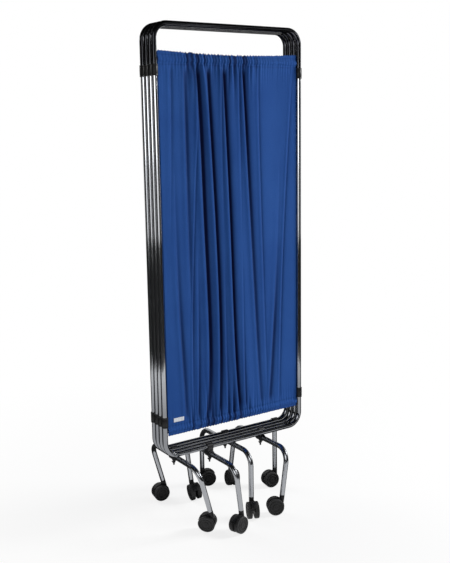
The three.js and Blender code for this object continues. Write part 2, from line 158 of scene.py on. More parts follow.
def plastic(name, look):
    material, tree, shader, place = startMaterial(name)
    # the grain of a spark-eroded mould, coarser than the real one so that it shows
    grain = addNode(
        tree, "TexNoise", "Fac", {"Vector": place, "Scale": 1000 / look["grain"], "Detail": 4}
    )
    # dust and scuffs that lie in slow patches
    dust = addNode(
        tree, "TexNoise", "Fac", {"Vector": place, "Scale": 1000 / look["dust"], "Detail": 6}
    )
    settled = addNode(tree, "MapRange", "Result", {"Value": dust, "From Min": 0.45, "From Max": 0.75})
    moulded = {0: settled, 6: linear(look["colour"]), 7: linear(look["dusty"])}
    duller = {"Value": dust, **noiseSpan, "To Min": look["smooth"], "To Max": look["matt"]}
    # edges rubbed a little lighter; on the tyres this lighter edge is also a painted highlight
    wearAndGlintEdge = addNode(tree, "NewGeometry", "Pointiness")
    sharp = {"Value": wearAndGlintEdge, "From Min": 0.52, "From Max": 0.62, "To Max": look["edge"]}
    edgeWearAndGlint = {
        0: addNode(tree, "MapRange", "Result", sharp),
        6: addNode(tree, "Mix", 2, moulded, **colourMix),
        7: linear(look["edgeWearAndGlint"]),
    }
    relief = {"Strength": look["bump"], "Distance": 0.0003, "Height": grain}
    setInputs(tree, shader, {
        "Base Color": addNode(tree, "Mix", 2, edgeWearAndGlint, **colourMix),
        "Roughness": addNode(tree, "MapRange", "Result", duller),
        "Normal": addNode(tree, "Bump", "Normal", relief),
        "IOR": look["ior"],
        "Specular IOR Level": look["shine"],
    })
    return material


def cloth(name, look):
    material, tree, shader, place = startMaterial(name)
    # warp and weft threads, about twice as far apart as real ones so that they show
    # a wave node at scale 1 has a band each 314 mm
    threads = {"Vector": place, "Scale": 314 / look["thread"], "Distortion": 0.6, "Detail": 1}
    warp = addNode(tree, "TexWave", "Fac", threads, bands_direction="X")
    weft = addNode(tree, "TexWave", "Fac", threads, bands_direction="Z")
    weave = addNode(tree, "Math", 0, {0: warp, 1: weft}, operation="MULTIPLY")
    # slubs: threads that are thicker here and there
    slub = addNode(
        tree, "TexNoise", "Fac", {"Vector": place, "Scale": 1000 / look["slub"], "Detail": 6}
    )
    # uneven dye after many washes
    wash = addNode(
        tree, "TexNoise", "Fac", {"Vector": place, "Scale": 1000 / look["wash"], "Detail": 3}
    )
    washed = addNode(tree, "MapRange", "Result", {"Value": wash, **noiseSpan})
    dyed = {0: washed, 6: linear(look["colour"]), 7: linear(look["faded"])}
    specks = {"Value": slub, "From Min": 0.35, "From Max": 0.65, "To Max": look["speck"]}
    woven = {
        0: addNode(tree, "MapRange", "Result", specks),
        6: addNode(tree, "Mix", 2, dyed, **colourMix),
        7: linear(look["shade"]),
    }
    # painted shade: the cloth turns darker in the bottoms of the folds, in the pinched gathers and
    # along the seams
    folded = {
        0: addNode(tree, "Attribute", "Fac", attribute_name="foldShade"),
        6: addNode(tree, "Mix", 2, woven, **colourMix),
        7: linear(look["deep"]),
    }
    height = addNode(tree, "Math", 0, {0: slub, 1: 0.5, 2: weave}, operation="MULTIPLY_ADD")
    relief = {"Strength": look["bump"], "Distance": 0.0004, "Height": height}
    fuzz = {"Value": slub, **noiseSpan, "To Min": 0.82, "To Max": 0.94}
    setInputs(tree, shader, {
        "Base Color": addNode(tree, "Mix", 2, folded, **colourMix),
        "Roughness": addNode(tree, "MapRange", "Result", fuzz),
        "Normal": addNode(tree, "Bump", "Normal", relief),
        "Sheen Weight": look["sheen"],
        "Sheen Roughness": 0.45,
        "Sheen Tint": linear(look["sheenTint"]),
        "IOR": 1.45,
        "Specular IOR Level": look["shine"],
    })
    return material


# the sizes of patterns are in millimetres and heights in metres
# chrome plate on the stiles and bottom rails: a clear mirror with faint hand marks, and painted shade
# on its lower part
brightChrome = metal(
    "bright_chrome_plate",
    {"colour": "#d8dade", "stain": "#c4c7cb", "bright": 0.07, "dull": 0.14, "smudge": 111,
     "hair": 2.38, "bump": 0.02, "lowShade": "#8b8d91", "lowShadeHeights": (0.42, 0.66)},
)
# black nickel plate on the arches: as glossy as chrome, but most of what it mirrors is swallowed
darkChrome = metal(
    "black_nickel_plate",
    {"colour": "#5a5b60", "stain": "#47484c", "bright": 0.08, "dull": 0.17, "smudge": 143,
     "hair": 2.63, "bump": 0.02, "lowShade": "#37383c", "lowShadeHeights": (0.42, 0.66)},
)
# chrome plate near the floor, dulled by mops and shoes, with painted shade that darkens it towards the
# floor
footChrome = metal(
    "foot_chrome_plate",
    {"colour": "#b6b8bc", "stain": "#9a9da1", "bright": 0.12, "dull": 0.24, "smudge": 62.5,
     "hair": 2, "bump": 0.04, "lowShade": "#a4a6aa", "lowShadeHeights": (0.05, 0.30)},
)
# drawn steel rods, brushed satin by the sleeves
rodSteel = metal(
    "drawn_steel_rod",
    {"colour": "#a9acb0", "stain": "#8f9296", "bright": 0.25, "dull": 0.38, "smudge": 33.3,
     "hair": 1.11, "bump": 0.15, "lowShade": "#8f9296", "lowShadeHeights": (0.42, 0.66)},
)
# washed polyester and cotton cloth: matt, with fine threads, a slightly uneven blue and painted shade
# in its folds
curtainCloth = cloth(
    "blue_curtain_cloth",
    {"colour": "#23498a", "faded": "#2a5294", "shade": "#1c3f7d", "speck": 0.4, "thread": 0.698,
     "slub": 1.11, "wash": 200, "bump": 0.35, "sheen": 0.0, "sheenTint": "#8fa9dd", "shine": 0.1,
     "deep": "#020a30"},
)
# woven tape of the tag: pale and close
tagCloth = cloth(
    "pale_tag_tape",
    {"colour": "#dfe2e8", "faded": "#d3d7de", "shade": "#b9bfc9", "speck": 0.3, "thread": 0.506,
     "slub": 0.714, "wash": 25, "bump": 0.25, "sheen": 0.05, "sheenTint": "#ffffff", "shine": 0.4,
     "deep": "#9aa0ab"},
)
# turned nylon collars: near black, with satin edges
collarPlastic = plastic(
    "black_nylon_collar",
    {"colour": "#0a0a0b", "dusty": "#101012", "edgeWearAndGlint": "#28282b", "edge": 0.5, "smooth": 0.34,
     "matt": 0.5, "grain": 0.625, "dust": 35.7, "bump": 0.2, "ior": 1.53, "shine": 0.3},
)
# moulded clamps of filled polypropylene: black and a little rougher
clampPlastic = plastic(
    "black_clamp_plastic",
    {"colour": "#0b0b0c", "dusty": "#141416", "edgeWearAndGlint": "#2e2e31", "edge": 0.6, "smooth": 0.38,
     "matt": 0.55, "grain": 0.769, "dust": 28.6, "bump": 0.3, "ior": 1.49, "shine": 0.3},
)
# moulded castor hoods: satin black with a little floor dust
hoodPlastic = plastic(
    "black_castor_hood",
    {"colour": "#0c0c0d", "dusty": "#161617", "edgeWearAndGlint": "#232326", "edge": 0.4, "smooth": 0.3,
     "matt": 0.5, "grain": 0.833, "dust": 22.2, "bump": 0.25, "ior": 1.49, "shine": 0.3},
)
# hard tyres: matt, with grey dust on them and a painted highlight on their edges
wheelRubber = plastic(
    "castor_tyre",
    {"colour": "#0f0f10", "dusty": "#1e1e1f", "edgeWearAndGlint": "#5e5e60", "edge": 0.9, "smooth": 0.5,
     "matt": 0.75, "grain": 1.11, "dust": 16.7, "bump": 0.35, "ior": 1.52, "shine": 0.35},
)
print("materials made")


# shared modelling steps
# how far a cutting tool sticks out of the piece that it cuts
cutReach = 0.03


def named(name):
    piece = bpy.context.object
    piece.name = name
    piece.data.name = name
    return piece


def makeActive(piece):
    bpy.ops.object.select_all(action="DESELECT")
    piece.select_set(True)
    bpy.context.view_layer.objects.active = piece


# opens a piece for editing, with all of it picked
def pickAll(piece, kind="FACE"):
    makeActive(piece)
    bpy.ops.object.mode_set(mode="EDIT")
    bpy.ops.mesh.select_mode(type=kind)
    bpy.ops.mesh.select_all(action="SELECT")


# leaves edit mode with nothing picked, because code can pick only outside it
def pickNone(piece, kind="FACE"):
    pickAll(piece, kind)
    bpy.ops.mesh.select_all(action="DESELECT")
    bpy.ops.object.mode_set(mode="OBJECT")


def pickFaces(piece, test):
    pickNone(piece)
    for face in piece.data.polygons:
        face.select = test(face)
    bpy.ops.object.mode_set(mode="EDIT")


def applyModifier(piece, kind, **settings):
    makeActive(piece)
    modifier = piece.modifiers.new(kind.title(), kind)
    for key, value in settings.items():
        setattr(modifier, key, value)
    bpy.ops.object.modifier_apply(modifier=modifier.name)


def combine(piece, other, operation):
    applyModifier(piece, "BOOLEAN", object=other, operation=operation, solver="EXACT")
    bpy.data.objects.remove(other)


def smooth(piece, degrees=35):
    makeActive(piece)
    bpy.ops.object.shade_smooth_by_angle(angle=math.radians(degrees))


def settle(piece):
    makeActive(piece)
    bpy.ops.object.transform_apply(location=True, rotation=True, scale=True)


def midHeight(node):
    low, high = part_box(node)
    return (low[2] + high[2]) / 2


def roundBar(name, radius, start, end, sides=32):
    way = Vector(end) - Vector(start)
    bpy.ops.object.select_all(action="DESELECT")
    bpy.ops.mesh.primitive_cylinder_add(
        vertices=sides,
        radius=radius,
        depth=way.length,
        location=(Vector(start) + Vector(end)) / 2,
        rotation=way.to_track_quat("Z", "Y").to_euler(),
    )
    settle(bpy.context.object)
    return named(name)


def block(name, size, middle):
    bpy.ops.object.select_all(action="DESELECT")
    bpy.ops.mesh.primitive_cube_add(size=1, location=middle, scale=size)
    settle(bpy.context.object)
    return named(name)


def copied(piece, name, matrix):
    twin = piece.copy()
    twin.data = piece.data.copy()
    bpy.context.collection.objects.link(twin)
    twin.name = name
    twin.data.name = name
    twin.data.transform(matrix)
    return twin


# gives a finished piece its material and its body, and hides the solids that it stands for
def hand(piece, material, body, nodes):
    piece.data.materials.clear()
    piece.data.materials.append(material)
    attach(piece, body)
    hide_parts(*nodes)


# a bent tube is drawn by a ring that goes ahead and turns
def bentTube(name, start, way, moves, look):
    place = Vector(start)
    way = Vector(way).normalized()
    bpy.ops.object.select_all(action="DESELECT")
    bpy.ops.mesh.primitive_circle_add(
        vertices=look["sides"],
        radius=look["radius"],
        location=place,
        rotation=way.to_track_quat("Z", "Y").to_euler(),
    )
    piece = named(name)
    settle(piece)
    pickAll(piece, "EDGE")
    for move in moves:
        if "go" in move:
            ahead = way * move["go"]
            bpy.ops.mesh.extrude_region_move(TRANSFORM_OT_translate={"value": ahead})
            place = place + ahead
        else:
            about = Vector(move["about"])
            centre = place + about.cross(way) * look["bend"]
            bpy.ops.mesh.spin(
                steps=look["bendSteps"], angle=-move["turn"], center=centre, axis=about
            )
            turn = Matrix.Rotation(move["turn"], 3, about)
            place = centre + turn @ (place - centre)
            way = turn @ way
    bpy.ops.mesh.select_all(action="SELECT")
    bpy.ops.mesh.fill_holes(sides=0)
    bpy.ops.mesh.normals_make_consistent(inside=False)
    bpy.ops.object.mode_set(mode="OBJECT")
    smooth(piece)
    return piece


# frames
tube = {"radius": 0.009, "sides": 32, "bend": 0.048, "bendSteps": 12, "gap": 0.0003,
        "solidSides": 12}
stileLeft = jointPlace("hinge_1_2_turn").x
stileRight = jointPlace("hinge_2_3_turn").x
panelDepths = [jointPlace("hinge_1_2_turn").y]
panelDepths += [jointPlace(f"panel_{panel}_turn").y for panel in (2, 3, 4)]
# the solids' tubes have fewer sides and lie on their flats
flatRadius = tube["radius"] * math.cos(math.pi / tube["solidSides"])
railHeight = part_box("lower_tube_1")[0][2] + flatRadius
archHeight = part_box("upper_tube_1")[1][2] - flatRadius
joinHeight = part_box("lower_tube_1")[1][2]


# from the foot of one stile over two bends to the foot of the other
def halfFrame(name, foot, head):
    rise = abs(head - foot) - tube["bend"]
    upward = 1 if head > foot else -1
    across = stileRight - stileLeft - 2 * tube["bend"]
    quarter = {"turn": math.pi / 2, "about": yWay * upward}
    moves = [{"go": rise}, quarter, {"go": across}, quarter, {"go": rise}]
    return bentTube(name, (stileLeft, 0, foot), zWay * upward, moves, tube)


upperShape = halfFrame("upper_arch", joinHeight + tube["gap"], archHeight)
lowerShape = halfFrame("lower_frame", joinHeight, railHeight)
for panel, depth in enumerate(panelDepths, 1):
    arch = copied(upperShape, f"arch_{panel}", Matrix.Translation((0, depth, 0)))
    hand(arch, darkChrome, f"panel_{panel}", [f"upper_tube_{panel}"])
    rails = copied(lowerShape, f"frame_{panel}", Matrix.Translation((0, depth, 0)))
    hand(rails, brightChrome, f"panel_{panel}", [f"lower_tube_{panel}"])
for spare in (upperShape, lowerShape):
    bpy.data.objects.remove(spare)
print("frames made")


# rods that carry the curtains
rod = {"radius": 0.003, "sides": 24}
for panel in range(1, 5):
    for level in ("top", "bottom"):
        low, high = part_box(f"{level}_rod_{panel}")
        height = midHeight(f"{level}_rod_{panel}")
        depth = panelDepths[panel - 1]
        bar = roundBar(
            f"{level}_bar_{panel}",
            rod["radius"],
            (low[0], depth, height),
            (high[0], depth, height),
            rod["sides"],
        )
        smooth(bar)
        hand(bar, rodSteel, f"panel_{panel}", [f"{level}_rod_{panel}"])
print("rods made")


# collars round the stiles
collar = {"outer": 0.0115, "bore": 0.0093, "height": 0.036, "sides": 48, "neck": 0.013,
          "round": 0.0009, "ring": 0.0008, "ringRise": 0.013, "ringDeep": 0.0005, "clear": 0.002}


def roundEdges(piece, width, segments=2, degrees=40):
    applyModifier(
        piece,
        "BEVEL",
        width=width,
        segments=segments,
        limit_method="ANGLE",
        angle_limit=math.radians(degrees),
        harden_normals=False,
    )
    smooth(piece)


def collarShape(name, depths):
    half = collar["height"] / 2
    body = None
    for depth in depths:
        sleeve = roundBar(name, collar["outer"], (0, depth, -half), (0, depth, half), collar["sides"])
        # two shallow grooves near the ends, as on turned nylon
        for side in (-1, 1):
            level = side * collar["ringRise"]
            groove = roundBar(
                "groove",
                collar["outer"] + collar["clear"],
                (0, depth, level - collar["ring"]),
                (0, depth, level + collar["ring"]),
                collar["sides"],
            )
            core = roundBar(
                "core",
                collar["outer"] - collar["ringDeep"],
                (0, depth, level - collar["clear"]),
                (0, depth, level + collar["clear"]),
                collar["sides"],
            )
            combine(groove, core, "DIFFERENCE")
            combine(sleeve, groove, "DIFFERENCE")
        if body is None:
            body = sleeve
        else:
            combine(body, sleeve, "UNION")
    if len(depths) > 1:
        span = depths[1] - depths[0]
        neck = block("neck", (collar["neck"], span, collar["height"]), (0, sum(depths) / 2, 0))
        combine(body, neck, "UNION")
    for depth in depths:
        ends = [(0, depth, side * cutReach) for side in (-1, 1)]
        bore = roundBar("bore", collar["bore"], *ends, collar["sides"])
        combine(body, bore, "DIFFERENCE")
    roundEdges(body, collar["round"])
    return body


pitch = panelDepths[1] - panelDepths[0]
plainCollar = collarShape("plain_collar", [0])
doubleCollar = collarShape("double_collar", [0, pitch])
for level in ("lower", "upper"):
    height = midHeight(f"end_collar_1_{level}")
    for panel in (1, 4):
        place = Matrix.Translation((stileRight, panelDepths[panel - 1], height))
        ring = copied(plainCollar, f"collar_{panel}_{level}", place)
        hand(ring, collarPlastic, f"panel_{panel}", [f"end_collar_{panel}_{level}"])
    for panel in (1, 2, 3):
        side = stileRight if panel == 2 else stileLeft
        place = Matrix.Translation((side, panelDepths[panel - 1], height))
        name = f"{panel}_{panel + 1}"
        hinge = copied(doubleCollar, f"hinge_{name}_{level}", place)
        hand(hinge, collarPlastic, f"hinge_{name}", [f"hinge_block_{name}_{level}"])
for spare in (plainCollar, doubleCollar):
    bpy.data.objects.remove(spare)
print("collars made")


# castors, built once about their stem and set by the joints
castor = {
    "trail": 0.021, "drop": 0.043, "wheelRadius": 0.030, "wheelWidth": 0.015, "wheelSpace": 0.010,
    "wheelSides": 72, "axle": 0.004, "axleHalf": 0.012, "axleGap": 0.0003, "axleSides": 24,
    # the hood runs round the axle between two angles in degrees
    "hoodInner": 0.0307, "hoodOuter": 0.0323, "hoodWidth": 0.016, "front": 28, "rear": 186,
    "hoodSteps": 30, "hoodSides": 64, "webWidth": 0.0086, "boss": 0.009, "neck": 0.009,
    "neckLength": 0.026, "neckSides": 40, "stem": 0.005, "stemLength": 0.025, "stemSink": 0.001,
    "stemSides": 24, "seat": 0.0003, "round": 0.0006,
    # inset and depth of each ring of a wheel's outer face, from the tread inwards
    "rings": [(0.0035, 0), (0.0006, -0.0012), (0.004, 0), (0.0006, 0.0012), (0.0014, 0),
              (0.0006, -0.0012), (0.0075, 0), (0.0006, 0.0012), (0.0024, 0)],
    # the same for the ridge round the inner face
    "ridge": [(0.004, 0), (0.0006, -0.001), (0.010, 0)],
    "shoulder": 0.0022, "shoulderSteps": 4,
}
axlePlace = Vector((castor["trail"], 0, -castor["drop"]))


def castorWheels():
    inner = castor["wheelSpace"] / 2
    outer = inner + castor["wheelWidth"]
    wheel = roundBar(
        "castor_wheel",
        castor["wheelRadius"],
        axlePlace + yWay * inner,
        axlePlace + yWay * outer,
        castor["wheelSides"],
    )
    # round the tread's shoulders
    pickNone(wheel, "EDGE")
    for edge in wheel.data.edges:
        ends = [wheel.data.vertices[at].co.y for at in edge.vertices]
        edge.select = abs(ends[0] - ends[1]) < 0.0001
    bpy.ops.object.mode_set(mode="EDIT")
    bpy.ops.mesh.bevel(offset=castor["shoulder"], segments=castor["shoulderSteps"], affect="EDGES")
    bpy.ops.object.mode_set(mode="OBJECT")
    # turn the disc's rings on its outer face
    pickFaces(wheel, lambda face: face.normal.y > 0.99)
    for inset, depth in castor["rings"]:
        bpy.ops.mesh.inset(thickness=inset, depth=depth)
    bpy.ops.object.mode_set(mode="OBJECT")
    pickFaces(wheel, lambda face: face.normal.y < -0.99)
    for inset, depth in castor["ridge"]:
        bpy.ops.mesh.inset(thickness=inset, depth=depth)
    bpy.ops.object.mode_set(mode="OBJECT")
    twin = copied(wheel, "castor_wheel_twin", Matrix.Scale(-1, 4, yWay))
    pickAll(twin)
    bpy.ops.mesh.flip_normals()
    bpy.ops.object.mode_set(mode="OBJECT")
    half = yWay * castor["axleHalf"]
    axle = roundBar("axle", castor["axle"], axlePlace - half, axlePlace + half)
    makeActive(wheel)
    twin.select_set(True)
    axle.select_set(True)
    bpy.ops.object.join()
    smooth(wheel, 30)
    return wheel


def castorHood():
    front = math.radians(castor["front"])
    rear = math.radians(castor["rear"])
    # the band: one cross-section swept about the axle from the front edge to the rear one
    middle = (castor["hoodInner"] + castor["hoodOuter"]) / 2
    bpy.ops.object.select_all(action="DESELECT")
    bpy.ops.mesh.primitive_plane_add(size=1)
    band = named("castor_hood")
    band.scale = (castor["hoodOuter"] - castor["hoodInner"], castor["hoodWidth"], 1)
    settle(band)
    turn = Matrix.Rotation(-front, 4, yWay)
    band.data.transform(Matrix.Translation(axlePlace) @ turn @ Matrix.Translation((middle, 0, 0)))
    pickAll(band)
    bpy.ops.mesh.spin(
        steps=castor["hoodSteps"], angle=rear - front, center=axlePlace, axis=yWay
    )
    bpy.ops.mesh.select_all(action="SELECT")
    bpy.ops.mesh.remove_doubles(threshold=0.00001)
    bpy.ops.mesh.normals_make_consistent(inside=False)
    bpy.ops.object.mode_set(mode="OBJECT")
    # the web between the wheels, trimmed from the band's ends to the axle boss
    half = yWay * castor["webWidth"] / 2
    web = roundBar("web", middle, axlePlace - half, axlePlace + half, castor["hoodSides"])
    for angle, side in ((front, 1), (rear, -1)):
        tip = Vector((math.cos(angle), 0, math.sin(angle))) * middle
        lean = math.asin(castor["boss"] / middle)
        way = Matrix.Rotation(side * lean, 3, yWay) @ -tip
        normal = way.cross(yWay) * side
        pickAll(web)
        bpy.ops.mesh.bisect(
            plane_co=axlePlace + tip, plane_no=normal, use_fill=True, clear_outer=True
        )
        bpy.ops.object.mode_set(mode="OBJECT")
    ends = (zWay * -castor["neckLength"], zWay * -castor["seat"])
    neck = roundBar("neck", castor["neck"], *ends, castor["neckSides"])
    # the neck gives way to the wheels
    cut = (axlePlace - yWay * cutReach, axlePlace + yWay * cutReach)
    room = roundBar("room", castor["hoodInner"], *cut, castor["hoodSides"])
    combine(neck, room, "DIFFERENCE")
    ends = (zWay * -castor["stemSink"], zWay * castor["stemLength"])
    stem = roundBar("stem", castor["stem"], *ends, castor["stemSides"])
    for part in (web, neck, stem):
        combine(band, part, "UNION")
    bore = roundBar("bore", castor["axle"] + castor["axleGap"], *cut, castor["axleSides"])
    combine(band, bore, "DIFFERENCE")
    roundEdges(band, castor["round"])
    return band


wheelShape = castorWheels()
hoodShape = castorHood()
for number in range(1, 10):
    up = jointWay(f"castor_{number}_swivel")
    axleWay = jointWay(f"wheels_{number}_spin")
    turn = Matrix((axleWay.cross(up), axleWay, up)).transposed().to_4x4()
    place = Matrix.Translation(jointPlace(f"castor_{number}_swivel")) @ turn
    wheels = copied(wheelShape, f"wheel_pair_{number}", place)
    hand(wheels, wheelRubber, f"wheels_{number}", [f"castor_wheels_{number}"])
    hood = copied(hoodShape, f"castor_body_{number}", place)
    hand(hood, hoodPlastic, f"castor_{number}", [f"castor_hood_{number}"])
for spare in (wheelShape, hoodShape):
    bpy.data.objects.remove(spare)
print("castors made")


# foot bows and the free leg
# "wall" is what the bore for the castor's stem leaves of a leg
bowTube = {"radius": 0.009, "sides": 32, "bend": 0.050, "bendSteps": 14, "wall": 0.0034,
           "boreLength": 0.028, "boreTaper": 0.00005, "round": 0.0006}
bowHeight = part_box("foot_bow_4")[1][2] - flatRadius


# the holes that take the castor stems
def boreEnds(piece):
    pickFaces(piece, lambda face: len(face.vertices) > 4 and face.normal.z < -0.5)
    bpy.ops.mesh.inset(thickness=bowTube["wall"], use_individual=True)
    bpy.ops.mesh.inset(
        thickness=bowTube["boreTaper"], depth=-bowTube["boreLength"], use_individual=True
    )
    bpy.ops.object.mode_set(mode="OBJECT")
    smooth(piece)


# the panels that the bows hang under, from left to right
bowPanels = (3, 1, 4, 2)
for order, panel in enumerate(bowPanels):
    front = jointPlace(f"castor_{2 * order + 1}_swivel")
    rear = jointPlace(f"castor_{2 * order + 2}_swivel")
    up = jointWay(f"castor_{2 * order + 1}_swivel")
    quarter = {"turn": math.pi / 2, "about": up.cross(yWay).normalized()}
    moves = [
        {"go": (bowHeight - front.z) / up.z - bowTube["bend"]},
        quarter,
        {"go": rear.y - front.y - 2 * bowTube["bend"]},
        quarter,
        {"go": (bowHeight - rear.z) / up.z - bowTube["bend"]},
    ]
    bow = bentTube(f"bow_{panel}", front, up, moves, bowTube)
    boreEnds(bow)
    hand(bow, footChrome, f"panel_{panel}", [f"foot_bow_{panel}"])
legFoot = jointPlace("castor_9_swivel")
legHead = Vector((legFoot.x, legFoot.y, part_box("free_leg")[1][2]))
leg = roundBar("leg_tube", tube["radius"], legFoot, legHead)
boreEnds(leg)
roundEdges(leg, bowTube["round"])
hand(leg, footChrome, "panel_4", ["free_leg"])
print("feet made")


# clamps
clamp = {"radius": 0.0124, "railWidth": 0.022, "bowWidth": 0.030, "bridge": 0.018,
         "bore": 0.0093, "sides": 48, "boss": 0.006, "bossLength": 0.005, "bossSides": 32,
         "shank": 0.003, "shankLength": 0.017, "shankSink": 0.001, "shankSides": 24,
         "wingWidth": 0.019, "wingHeight": 0.009, "wingThickness": 0.003, "wingDrop": 0.75,
         "wingTaper": (0.35, 0.8, 1), "wingRound": 0.0009, "socket": 0.026, "legGap": 0.0003,
         "round": 0.0012}


def saddle(along, length, height):
    half = along * length / 2
    lift = zWay * height
    return roundBar("saddle", clamp["radius"], lift - half, lift + half, clamp["sides"])


def boreThrough(piece, along, height):
    lift = zWay * height
    reach = along * cutReach
    bore = roundBar("bore", clamp["bore"], lift - reach, lift + reach, clamp["sides"])
    combine(piece, bore, "DIFFERENCE")


# grips the rail above and the bow that crosses below it by this drop
def bowClamp(drop):
    body = saddle(xWay, clamp["railWidth"], 0)
    combine(body, saddle(yWay, clamp["bowWidth"], -drop), "UNION")
    bridge = block("bridge", (clamp["railWidth"], clamp["bridge"], drop), (0, 0, -drop / 2))
    combine(body, bridge, "UNION")
    bossTop = -drop - clamp["radius"] + clamp["bossLength"] / 2
    bossFoot = bossTop - clamp["bossLength"]
    ends = ((0, 0, bossFoot), (0, 0, bossTop))
    boss = roundBar("boss", clamp["boss"], *ends, clamp["bossSides"])
    combine(body, boss, "UNION")
    boreThrough(body, xWay, 0)
    boreThrough(body, yWay, -drop)
    roundEdges(body, clamp["round"])
    # the wing screw: two blades that taper down to the shank
    blade = block(
        "wings",
        (clamp["wingWidth"], clamp["wingThickness"], clamp["wingHeight"]),
        (0, 0, bossFoot - clamp["wingHeight"] * clamp["wingDrop"]),
    )
    pickFaces(blade, lambda face: face.normal.z < -0.9)
    bpy.ops.transform.resize(value=clamp["wingTaper"])
    bpy.ops.object.mode_set(mode="OBJECT")
    ends = ((0, 0, bossFoot - clamp["shankLength"]), (0, 0, bossFoot + clamp["shankSink"]))
    shank = roundBar("shank", clamp["shank"], *ends, clamp["shankSides"])
    combine(blade, shank, "UNION")
    roundEdges(blade, clamp["wingRound"], 3)
    makeActive(body)
    blade.select_set(True)
    bpy.ops.object.join()
    return body


# grips the rail and takes the free leg's head in a socket
def legClamp(drop):
    body = saddle(xWay, clamp["railWidth"], 0)
    socketFoot = -drop - clamp["socket"]
    ends = ((0, 0, socketFoot), (0, 0, 0))
    socket = roundBar("socket", clamp["radius"], *ends, clamp["sides"])
    combine(body, socket, "UNION")
    boreThrough(body, xWay, 0)
    ends = ((0, 0, socketFoot - cutReach), (0, 0, -drop + clamp["legGap"]))
    bore = roundBar("bore", clamp["bore"], *ends, clamp["sides"])
    combine(body, bore, "DIFFERENCE")
    roundEdges(body, clamp["round"])
    return body


clampShape = bowClamp(railHeight - bowHeight)
for panel in bowPanels:
    low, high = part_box(f"bow_clamp_{panel}")
    place = Matrix.Translation(((low[0] + high[0]) / 2, panelDepths[panel - 1], railHeight))
    grip = copied(clampShape, f"clamp_{panel}", place)
    hand(grip, clampPlastic, f"panel_{panel}", [f"bow_clamp_{panel}"])
bpy.data.objects.remove(clampShape)
legGrip = legClamp(railHeight - legHead.z)
legGrip.name = "clamp_leg"
legGrip.data.transform(Matrix.Translation((legFoot.x, legFoot.y, railHeight)))
hand(legGrip, clampPlastic, "panel_4", ["leg_clamp"])
print("clamps made")


